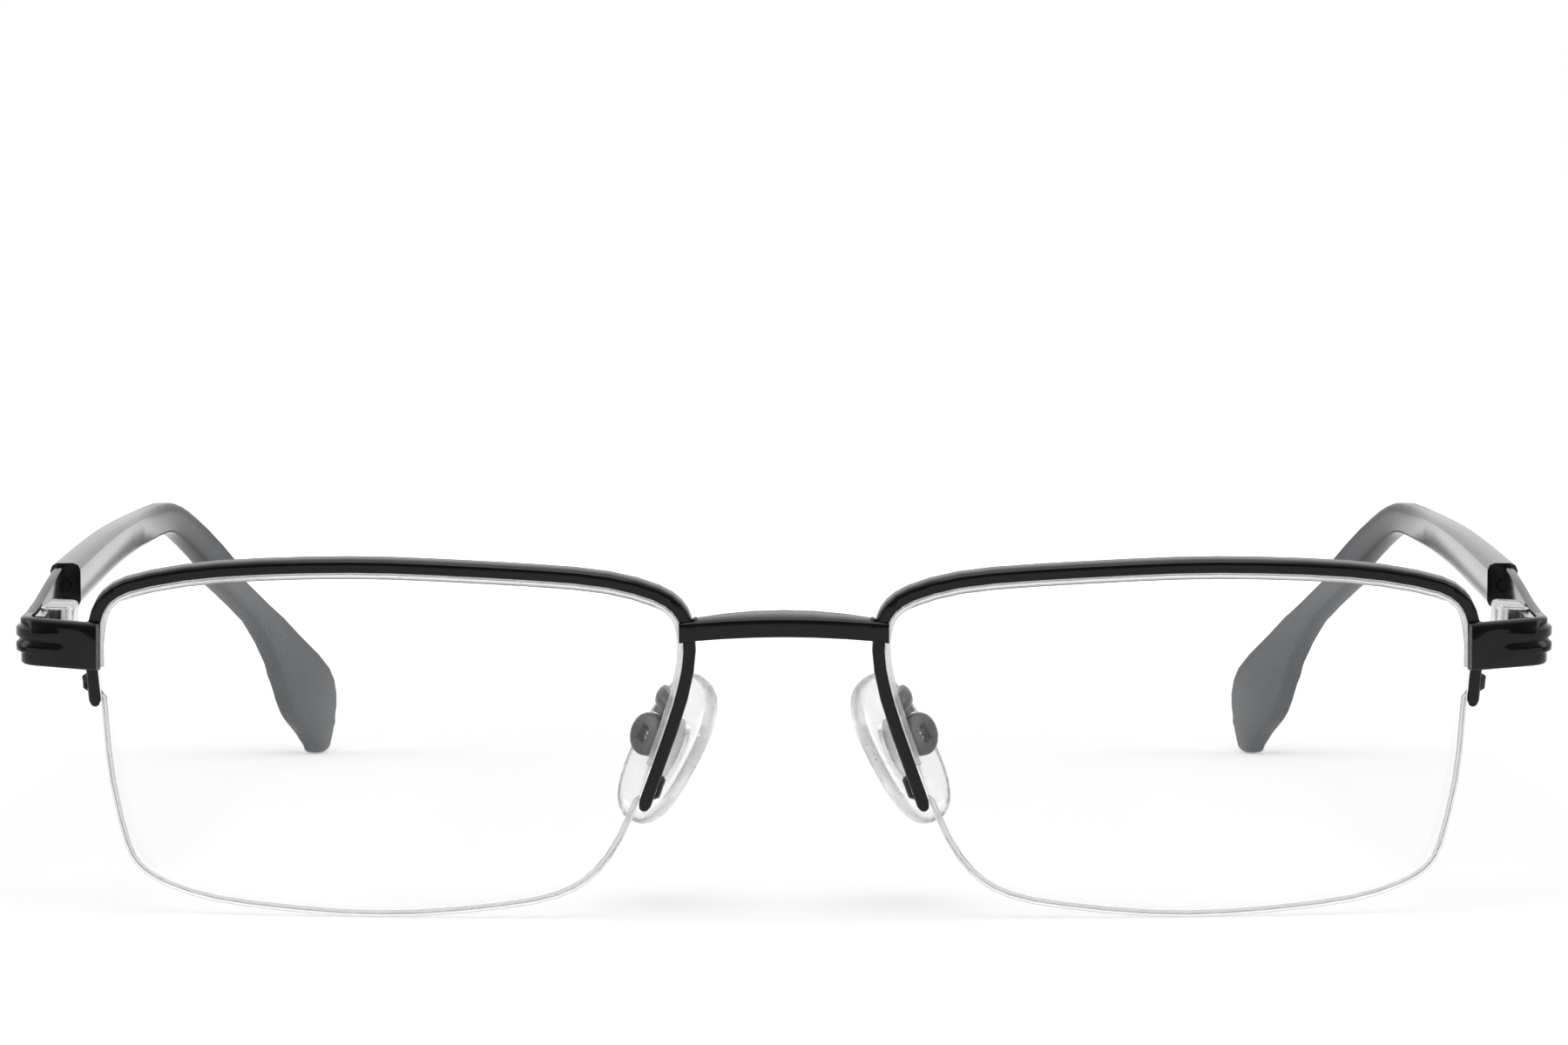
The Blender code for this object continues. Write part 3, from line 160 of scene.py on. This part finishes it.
# Where the cord's loops lie: outside these places, the nasal one slanted with its limb
TEMPORAL_LOOP_X = 63.1 * MM
NASAL_LOOP_X = 16.2 * MM
NASAL_LIMB_SLANT = 0.375
LOOP_BLEND = 0.25 * MM
LOOP_SHADE = 0.02


def lacquered_black():
    finish = Finish("lacquered_black")
    cloud = finish.noise(scale=900.0, detail=4.0)
    finish.colour(cloud, ((0.35, (0.0030, 0.0030, 0.0026)), (0.65, (0.0046, 0.0046, 0.0040))))
    finish.rough(finish.noise(scale=2600.0), low=0.10, high=0.17)
    finish.set(Specular_IOR_Level=0.33)
    finish.bump(finish.noise(scale=7000.0, detail=2.0), strength=0.03, distance=0.00002)
    return finish.material


def bright_steel():
    finish = Finish("bright_steel")
    lines = finish.noise(scale=4200.0, detail=4.0, stretch=(1.0, 1.0, 0.08))
    finish.colour(lines, ((0.3, (0.50, 0.50, 0.49)), (0.7, (0.66, 0.66, 0.65))))
    finish.rough(lines, low=0.20, high=0.34)
    finish.set(Metallic=1.0)
    finish.bump(lines, strength=0.12, distance=0.00002)
    return finish.material


def dark_plated():
    finish = Finish("dark_plated")
    cloud = finish.noise(scale=3000.0)
    finish.colour(cloud, ((0.3, (0.050, 0.050, 0.052)), (0.7, (0.085, 0.085, 0.087))))
    finish.rough(cloud, low=0.26, high=0.38)
    finish.set(Metallic=1.0)
    finish.bump(finish.noise(scale=8000.0, detail=2.0), strength=0.06, distance=0.00002)
    return finish.material


def temple_plastic():
    """Gloss black along the arm, going over to a satin slate grey on the tip."""
    finish = Finish("temple_plastic")
    along = finish.span(finish.axes(finish.place)["Y"], GREY_STARTS, GREY_ENDS, 0.0, 1.0)
    colour = finish.ramp(along, (
        (0.0, (0.006, 0.006, 0.0062)), (0.35, (0.012, 0.0125, 0.0135)), (1.0, (0.022, 0.0285, 0.036)),
    ))
    cloud = finish.ramp(finish.noise(scale=500.0, detail=4.0), ((0.3, 0.90), (0.7, 1.0)))
    finish.put(finish.times(colour, cloud), finish.shader.inputs["Base Color"])
    shine = finish.ramp(along, ((0.0, 0.13), (1.0, 0.34)))
    speck = finish.ramp(finish.noise(scale=3500.0), ((0.3, 0.88), (0.7, 1.0)))
    finish.put(finish.times(shine, speck), finish.shader.inputs["Roughness"])
    mirror = finish.ramp(along, ((0.0, 0.42), (0.35, 0.29), (1.0, 0.39)))
    finish.put(mirror, finish.shader.inputs["Specular IOR Level"])
    finish.bump(finish.noise(scale=5200.0, detail=2.0), strength=0.04, distance=0.00003)
    return finish.material


def clear_lens():
    finish = Finish("clear_lens")
    cloud = finish.noise(scale=60.0, detail=2.0)
    finish.colour(cloud, ((0.3, (0.985, 0.99, 0.988)), (0.7, (0.995, 0.997, 0.996))))
    finish.rough(finish.noise(scale=900.0), low=0.0, high=0.012)
    finish.set(Transmission_Weight=1.0, IOR=1.49)
    return finish.material


def clear_nylon():
    """Clear, but made nearly black where the cord's loops lie outside the limbs."""
    finish = Finish("clear_nylon")
    axes = finish.axes(finish.place)
    aside = finish.math("ABSOLUTE", axes["X"])
    temporal = finish.span(aside, TEMPORAL_LOOP_X - LOOP_BLEND, TEMPORAL_LOOP_X, 1.0, LOOP_SHADE)
    slanted = finish.weighted(axes["Z"], NASAL_LIMB_SLANT, aside)
    nasal = finish.span(slanted, NASAL_LOOP_X - LOOP_BLEND, NASAL_LOOP_X, LOOP_SHADE, 1.0)
    cloud = finish.noise(scale=1200.0)
    colour = finish.ramp(cloud, ((0.3, (0.80, 0.81, 0.80)), (0.7, (0.90, 0.91, 0.90))))
    shade = finish.math("MULTIPLY", temporal, nasal)
    finish.put(finish.times(colour, shade), finish.shader.inputs["Base Color"])
    finish.rough(cloud, low=0.14, high=0.24)
    finish.set(Transmission_Weight=0.75, IOR=1.53)
    return finish.material


def clear_silicone():
    finish = Finish("clear_silicone")
    cloud = finish.noise(scale=500.0)
    finish.colour(cloud, ((0.3, (0.90, 0.905, 0.90)), (0.7, (0.955, 0.96, 0.955))))
    finish.rough(finish.noise(scale=1500.0), low=0.16, high=0.28)
    finish.set(Transmission_Weight=0.92, IOR=1.41)
    finish.bump(finish.noise(scale=2500.0, detail=2.0), strength=0.06, distance=0.00004)
    return finish.material


FINISHES = {
    "black_metal": lacquered_black(),
    "steel": bright_steel(),
    "dark_steel": dark_plated(),
    "black_plastic": temple_plastic(),
    "clear_lens": clear_lens(),
    "clear_nylon": clear_nylon(),
    "clear_silicone": clear_silicone(),
}


def smoothing(limit_deg):
    """A node group that welds the facets and shades them smooth, but not across edges past the limit."""
    group = bpy.data.node_groups.new("smooth_under_%d" % limit_deg, "GeometryNodeTree")
    group.interface.new_socket("Geometry", in_out="INPUT", socket_type="NodeSocketGeometry")
    group.interface.new_socket("Geometry", in_out="OUTPUT", socket_type="NodeSocketGeometry")
    new, link = group.nodes.new, group.links.new
    start, end = new("NodeGroupInput"), new("NodeGroupOutput")
    weld = new("GeometryNodeMergeByDistance")
    weld.inputs["Distance"].default_value = WELD_DISTANCE
    faces = new("GeometryNodeSetShadeSmooth")
    edges = new("GeometryNodeSetShadeSmooth")
    edges.domain = "EDGE"
    angle = new("GeometryNodeInputMeshEdgeAngle")
    below = new("FunctionNodeCompare")
    below.operation = "LESS_THAN"
    below.inputs["B"].default_value = math.radians(limit_deg)
    link(start.outputs[0], weld.inputs["Geometry"])
    link(weld.outputs["Geometry"], faces.inputs["Geometry"])
    link(faces.outputs["Geometry"], edges.inputs["Geometry"])
    link(angle.outputs["Unsigned Angle"], below.inputs["A"])
    link(below.outputs["Result"], edges.inputs["Shade Smooth"])
    link(edges.outputs["Geometry"], end.inputs[0])
    return group


SMOOTH = smoothing(SMOOTH_UNDER_DEG)
SMOOTH_LENS = smoothing(LENS_SMOOTH_UNDER_DEG)
SLOT_OF = {part["node"]: part["material_slot"] for part in frame["record"]["subparts"]}

for name, obj in nodes.items():
    obj.data.materials.clear()
    obj.data.materials.append(FINISHES["black_metal" if name.startswith("core_wire") else SLOT_OF[name]])
    if obj.data.has_custom_normals:
        obj.data.attributes.remove(obj.data.attributes["custom_normal"])
    obj.modifiers.new("smooth", "NODES").node_group = SMOOTH_LENS if name.startswith("lens") else SMOOTH

for side in SIDES:
    nodes["lens_" + side].visible_shadow = False


PAD_LENGTH = 15.1 * MM
PAD_WIDTH = 8.0 * MM
PAD_THICKNESS = 2.1 * MM
PAD_SQUARENESS = 2.5
PAD_POINTS = 56
INSERT_WIDTH = 3.2 * MM
INSERT_LENGTH = 7.4 * MM
INSERT_THICKNESS = 0.8 * MM
INSERT_DEEP = 0.40 * MM
INSERT_BELOW = 0.3 * MM
INSERT_NASAL = 0.7 * MM
INSERT_POINTS = 32
INSERT_EDGE = 0.12 * MM
TONGUE_ABOVE = 1.1 * MM
TONGUE_WIDTH = 1.0 * MM
TONGUE_LENGTH = 1.2 * MM
TONGUE_REACH = 2.8 * MM
FIT_GAP = 0.1 * MM
PAD_RING_SHARES = (
    (0.50, -0.500), (0.80, -0.500), (0.90, -0.490), (0.955, -0.440), (0.985, -0.340), (1.0, -0.190),
    (0.995, -0.040), (0.975, 0.100), (0.935, 0.230), (0.87, 0.345),
    (0.77, 0.430), (0.62, 0.480), (0.40, 0.500),
)


class PadAxes:
    """Where a nose pad sits and how it is turned, from the record's flat face and its rocking joint."""

    def __init__(self, side):
        mount = next(m for m in frame["record"]["mounts"] if m["name"] == "pad_face_" + side)
        joint = next(j for j in frame["record"]["behaviour"]["joints"] if j["name"] == "pad_rock_" + side)
        self.out = -Vector(mount["axis"]).normalized()
        self.wide = Vector(joint["axis"]).normalized()
        self.wide = (self.wide - self.out * self.wide.dot(self.out)).normalized()
        self.long = self.wide.cross(self.out)
        if self.long.z > 0:
            self.long.negate()
        self.middle = Vector(mount["pos_m"]) + self.out * PAD_THICKNESS / 2

    def at(self, wide, long, out):
        return self.middle + self.wide * wide + self.long * long + self.out * out


def mesh_object(name, bm, material):
    bmesh.ops.recalc_face_normals(bm, faces=bm.faces)
    if bm.calc_volume(signed=True) < 0:
        bmesh.ops.reverse_faces(bm, faces=bm.faces)
    mesh = bpy.data.meshes.new(name)
    bm.to_mesh(mesh)
    bm.free()
    obj = bpy.data.objects.new(name, mesh)
    bpy.context.scene.collection.objects.link(obj)
    if material:
        mesh.materials.append(material)
    return obj


def pad_body(axes):
    """Rings of an oval from the box side over the widest line to the crown that touches the nose."""
    bm = bmesh.new()
    rings = []
    for share, level in PAD_RING_SHARES:
        ring = []
        for k in range(PAD_POINTS):
            angle = 2 * math.pi * k / PAD_POINTS
            c, s = math.cos(angle), math.sin(angle)
            power = 2 / PAD_SQUARENESS
            wide = PAD_WIDTH / 2 * share * math.copysign(abs(c) ** power, c)
            half_long = PAD_LENGTH / 2 - PAD_WIDTH / 2 * (1 - share)
            long = half_long * math.copysign(abs(s) ** power, s)
            ring.append(bm.verts.new(axes.at(wide, long, -level * PAD_THICKNESS)))
        rings.append(ring)
    for near, far in zip(rings, rings[1:]):
        for k in range(PAD_POINTS):
            j = (k + 1) % PAD_POINTS
            bm.faces.new((near[k], near[j], far[j], far[k]))
    bm.faces.new(rings[0])
    bm.faces.new(rings[-1])
    return bm


def insert_body(axes, room):
    """The plate that lies in the pad and the tongue on it that the screw holds, larger all round by room."""
    top = PAD_THICKNESS / 2 - INSERT_DEEP
    low = top - INSERT_THICKNESS
    blocks = (
        (INSERT_WIDTH / 2, INSERT_LENGTH / 2, INSERT_NASAL, INSERT_BELOW, low - room, top + room),
        (TONGUE_WIDTH / 2, TONGUE_LENGTH / 2, 0.0, -TONGUE_ABOVE, low + INSERT_THICKNESS / 2,
         top + TONGUE_REACH),
    )
    made = []
    for wide, long, nasal, below, bottom, high in blocks:
        part = bmesh.new()
        bmesh.ops.create_cone(part, cap_ends=True, segments=INSERT_POINTS,
                              radius1=0.5, radius2=0.5, depth=1.0)
        for vert in part.verts:
            spot = vert.co.copy()
            vert.co = axes.at(spot.x * 2 * (wide + room) - nasal, spot.y * 2 * (long + room) + below,
                              bottom + (spot.z + 0.5) * (high - bottom))
        made.append(part)
    return made


def applied(obj):
    """Bakes the object's modifiers into its mesh."""
    graph = bpy.context.evaluated_depsgraph_get()
    mesh = bpy.data.meshes.new_from_object(obj.evaluated_get(graph))
    obj.modifiers.clear()
    obj.data = mesh


def change(obj, other, operation):
    modifier = obj.modifiers.new("change", "BOOLEAN")
    modifier.operation = operation
    modifier.object = other
    modifier.solver = "EXACT"
    applied(obj)
    bpy.data.objects.remove(other)


def bevelled(obj, width, segments):
    modifier = obj.modifiers.new("soft_edges", "BEVEL")
    modifier.width = width
    modifier.segments = segments
    modifier.limit_method = "ANGLE"
    applied(obj)


def nose_pad(side):
    axes = PadAxes(side)
    pad = mesh_object("soft_pad_" + side, pad_body(axes), FINISHES["clear_silicone"])
    plate, tongue = (mesh_object("insert_%s_%d" % (side, k), bm, None)
                     for k, bm in enumerate(insert_body(axes, FIT_GAP)))
    change(plate, tongue, "UNION")
    change(pad, plate, "DIFFERENCE")
    pad.modifiers.new("smooth", "NODES").node_group = SMOOTH
    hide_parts("nose_pad_" + side)
    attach(pad, "pad_" + side)

    plate, tongue = (mesh_object("insert_%s_%d" % (side, k), bm, FINISHES["clear_silicone"])
                     for k, bm in enumerate(insert_body(axes, 0.0)))
    bevelled(plate, INSERT_EDGE, 2)
    change(plate, tongue, "UNION")
    plate.name = "pad_insert_" + side
    plate.modifiers.new("smooth", "NODES").node_group = SMOOTH
    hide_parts("pad_core_" + side)
    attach(plate, "pad_" + side)


for side in SIDES:
    nose_pad(side)


BEAD_POINTS = 7
BEAD_SIDES = 10
BEAD_END_SHARE = 0.35
BRIDGE_BEAD_RADIUS = 0.34 * MM
BRIDGE_BEAD_LENGTH = 1.5 * MM
BRIDGE_BEAD_FALL = 0.26 * MM
BRIDGE_BEAD_ASIDE = 0.10 * MM
PLATE_BEAD_RADIUS = 0.24 * MM
PLATE_BEAD_START = (0.25 * MM, 0.42 * MM, -0.12 * MM)
PLATE_BEAD_RUN = (1.2 * MM, 0.40 * MM, 0.04 * MM)
CORNER_WEIGHT = 3
SAME_PLACE = 0.01 * MM


def solder_bead(name, start, end, thick):
    """A short fillet of solder between two pieces, thickest in its middle, lacquered over with them."""
    bm = bmesh.new()
    along = (end - start).normalized()
    across = along.orthogonal().normalized()
    other = along.cross(across)
    rings = []
    for k in range(BEAD_POINTS):
        share = k / (BEAD_POINTS - 1)
        radius = thick * (BEAD_END_SHARE + (1 - BEAD_END_SHARE) * math.sqrt(math.sin(math.pi * share)))
        middle = start.lerp(end, share)
        rings.append([
            bm.verts.new(middle + across * radius * math.cos(2 * math.pi * n / BEAD_SIDES)
                         + other * radius * math.sin(2 * math.pi * n / BEAD_SIDES))
            for n in range(BEAD_SIDES)
        ])
    for near, far in zip(rings, rings[1:]):
        for n in range(BEAD_SIDES):
            m = (n + 1) % BEAD_SIDES
            bm.faces.new((near[n], near[m], far[m], far[n]))
    bm.faces.new(rings[0])
    bm.faces.new(rings[-1])
    bead = mesh_object(name, bm, FINISHES["black_metal"])
    bead.modifiers.new("smooth", "NODES").node_group = SMOOTH
    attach(bead, "front")


def bridge_corner(sign):
    """The upper rear end of the bridge's thick part on this side, without the thin lap over the rim."""
    points = [v.co.copy() for v in nodes["bridge"].data.vertices]
    rear_half = (min(p.y for p in points) + max(p.y for p in points)) / 2
    thick_end = max(abs(p.x) for p in points if p.y > rear_half) + SAME_PLACE
    on_side = [p for p in points if 0 < p.x * sign <= thick_end]
    return max(on_side, key=lambda p: abs(p.x) * CORNER_WEIGHT + p.z + p.y)


def solder_beads(sign, side):
    rear = bridge_corner(sign)
    front = Vector((rear.x, rear.y - BRIDGE_BEAD_LENGTH, rear.z - BRIDGE_BEAD_FALL))
    out = Vector((sign * BRIDGE_BEAD_ASIDE, 0, -BRIDGE_BEAD_ASIDE))
    solder_bead("bridge_solder_" + side, front + out, rear + out, BRIDGE_BEAD_RADIUS)
    plate = min((v.co for v in nodes["endpiece_" + side].data.vertices), key=lambda p: abs(p.x) - p.z)
    x, y, z = PLATE_BEAD_START
    low = plate + Vector((sign * x, y, z))
    x, y, z = PLATE_BEAD_RUN
    solder_bead("endpiece_solder_" + side, low, low + Vector((sign * x, y, z)), PLATE_BEAD_RADIUS)


for sign, side in zip((1, -1), SIDES):
    solder_beads(sign, side)


LIP_LENGTH = 0.4 * MM
LIP_ROOM = 0.12 * MM


def arm_lip(side):
    """The bead of plastic that closes the joint where the metal strip enters the arm."""
    points = [v.co.copy() for v in nodes["temple_plate_" + side].data.vertices]
    rear = max(p.y for p in points)
    end = [p for p in points if p.y > rear - LIP_LENGTH]
    middle = sum(end, Vector()) / len(end)
    end.sort(key=lambda p: math.atan2(p.z - middle.z, p.x - middle.x))
    bm = bmesh.new()
    rings = []
    for back in (-LIP_LENGTH / 2, LIP_LENGTH / 2):
        ring = []
        for point in end:
            out = (point - middle).normalized() * LIP_ROOM
            ring.append(bm.verts.new(point + out + Vector((0, back, 0))))
        rings.append(ring)
    for k in range(len(end)):
        m = (k + 1) % len(end)
        bm.faces.new((rings[0][k], rings[0][m], rings[1][m], rings[1][k]))
    bm.faces.new(rings[0])
    bm.faces.new(rings[1])
    lip = mesh_object("arm_lip_" + side, bm, FINISHES["black_plastic"])
    lip.modifiers.new("smooth", "NODES").node_group = SMOOTH
    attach(lip, "temple_" + side)


for side in SIDES:
    arm_lip(side)


FLOOR_SIZE = 6.0
FLOOR_BELOW = 0.1 * MM
FLOOR_GREY = 0.80
GLOW_NEAR = 90.0 * MM
GLOW_FAR = 400.0 * MM
GLOW_NEAR_STRENGTH = 0.28
GLOW_FAR_STRENGTH = 1.2
MIRRORED_FROM_Y = -60.0 * MM
MIRRORED_TO_Y = 100.0 * MM
MIRRORED_STRENGTH = 0.75
SKY_STRENGTH = 0.55
SKY_BACK_WEIGHT = 0.55
SKY_DIM = 0.10
SKY_DIM_BELOW = -0.15
SKY_BRIGHT_ABOVE = 0.75
# Name, place, size and power of each lamp
LAMPS = (
    ("key", (0.0, -0.5, 1.1), 0.9, 5.0),
    ("left_fill", (-1.0, -0.2, 0.5), 0.6, 2.0),
    ("right_fill", (1.0, -0.2, 0.5), 0.6, 2.0),
)
LAMP_TARGET = (0.0, 0.0, 0.02)
CAMERA_LENS = 125.4
CAMERA_SENSOR = 36.0
CAMERA_NEAREST = 10.0 * MM
CAMERA_PLACE = (0.0, -556.490 * MM, 73.03 * MM)
CAMERA_DOWN_DEG = 4.273


def floor_material():
    """White card: it goes up to white away from the object, so that only the shadows show."""
    finish = Finish("floor")
    finish.set(Base_Color=(FLOOR_GREY, FLOOR_GREY, FLOOR_GREY, 1.0), Roughness=0.9, Specular_IOR_Level=0.0)
    reach = finish.add("ShaderNodeVectorMath", operation="LENGTH")
    finish.put(finish.place, reach.inputs[0])
    far = finish.span(reach.outputs["Value"], GLOW_NEAR, GLOW_FAR, GLOW_NEAR_STRENGTH, GLOW_FAR_STRENGTH,
                      interpolation_type="SMOOTHSTEP")
    rays = finish.add("ShaderNodeLightPath").outputs
    seen = finish.math("MAXIMUM", rays["Is Camera Ray"], rays["Is Transmission Ray"])
    behind = finish.span(finish.axes(finish.place)["Y"], MIRRORED_FROM_Y, MIRRORED_TO_Y,
                         0.0, MIRRORED_STRENGTH, interpolation_type="SMOOTHSTEP")
    reflected = finish.math("SUBTRACT", rays["Is Glossy Ray"], rays["Is Transmission Ray"], use_clamp=True)
    mirrored = finish.math("MULTIPLY", behind, reflected)
    level = finish.math("MULTIPLY_ADD", seen, far, mirrored)
    glow = finish.add("ShaderNodeEmission")
    glow.inputs["Color"].default_value = (1.0, 1.0, 1.0, 1.0)
    finish.put(level, glow.inputs["Strength"])
    both = finish.add("ShaderNodeAddShader")
    finish.put(finish.shader.outputs["BSDF"], both.inputs[0])
    finish.put(glow.outputs["Emission"], both.inputs[1])
    finish.put(both.outputs["Shader"], finish.tree.nodes["Material Output"].inputs["Surface"])
    return finish.material


def floor():
    bpy.ops.mesh.primitive_plane_add(size=FLOOR_SIZE, location=(0, 0, -FLOOR_BELOW))
    plane = bpy.context.object
    plane.name = "floor"
    plane.data.materials.append(floor_material())


def surroundings():
    """White to look at. In reflections dim at eye level in front, and bright above and behind."""
    world = bpy.data.worlds.new("studio")
    bpy.context.scene.world = world
    world.use_nodes = True
    sky = Nodes(world.node_tree)
    back = sky.tree.nodes["Background"]
    back.inputs["Color"].default_value = (1.0, 1.0, 1.0, 1.0)
    rays = sky.add("ShaderNodeLightPath").outputs
    straight = sky.math("MAXIMUM", rays["Is Camera Ray"], rays["Is Transmission Ray"])
    way = sky.axes(sky.add("ShaderNodeTexCoord").outputs["Generated"])
    height = sky.weighted(way["Y"], SKY_BACK_WEIGHT, way["Z"])
    mirror = sky.span(height, SKY_DIM_BELOW, SKY_BRIGHT_ABOVE, SKY_DIM, 1.0, interpolation_type="SMOOTHSTEP")
    mirrored = sky.add("ShaderNodeMix")
    mirrored.inputs["A"].default_value = SKY_STRENGTH
    sky.put(rays["Is Glossy Ray"], mirrored.inputs["Factor"])
    sky.put(mirror, mirrored.inputs["B"])
    level = sky.add("ShaderNodeMix")
    level.inputs["B"].default_value = 1.0
    sky.put(straight, level.inputs["Factor"])
    sky.put(mirrored.outputs["Result"], level.inputs["A"])
    sky.put(level.outputs["Result"], back.inputs["Strength"])


def lamps():
    for name, place, size, watts in LAMPS:
        data = bpy.data.lights.new(name, "AREA")
        data.size = size
        data.energy = watts
        lamp = bpy.data.objects.new(name, data)
        bpy.context.scene.collection.objects.link(lamp)
        lamp.location = place
        lamp.rotation_euler = (Vector(LAMP_TARGET) - Vector(place)).to_track_quat("-Z", "Y").to_euler()


def camera():
    data = bpy.data.cameras.new("camera")
    data.lens = CAMERA_LENS
    data.sensor_width = CAMERA_SENSOR
    data.clip_start = CAMERA_NEAREST
    obj = bpy.data.objects.new("camera", data)
    bpy.context.scene.collection.objects.link(obj)
    obj.location = CAMERA_PLACE
    obj.rotation_euler = (math.radians(90.0 - CAMERA_DOWN_DEG), 0.0, 0.0)
    bpy.context.scene.camera = obj


floor()
surroundings()
lamps()
camera()
bpy.context.scene.view_settings.view_transform = "Standard"
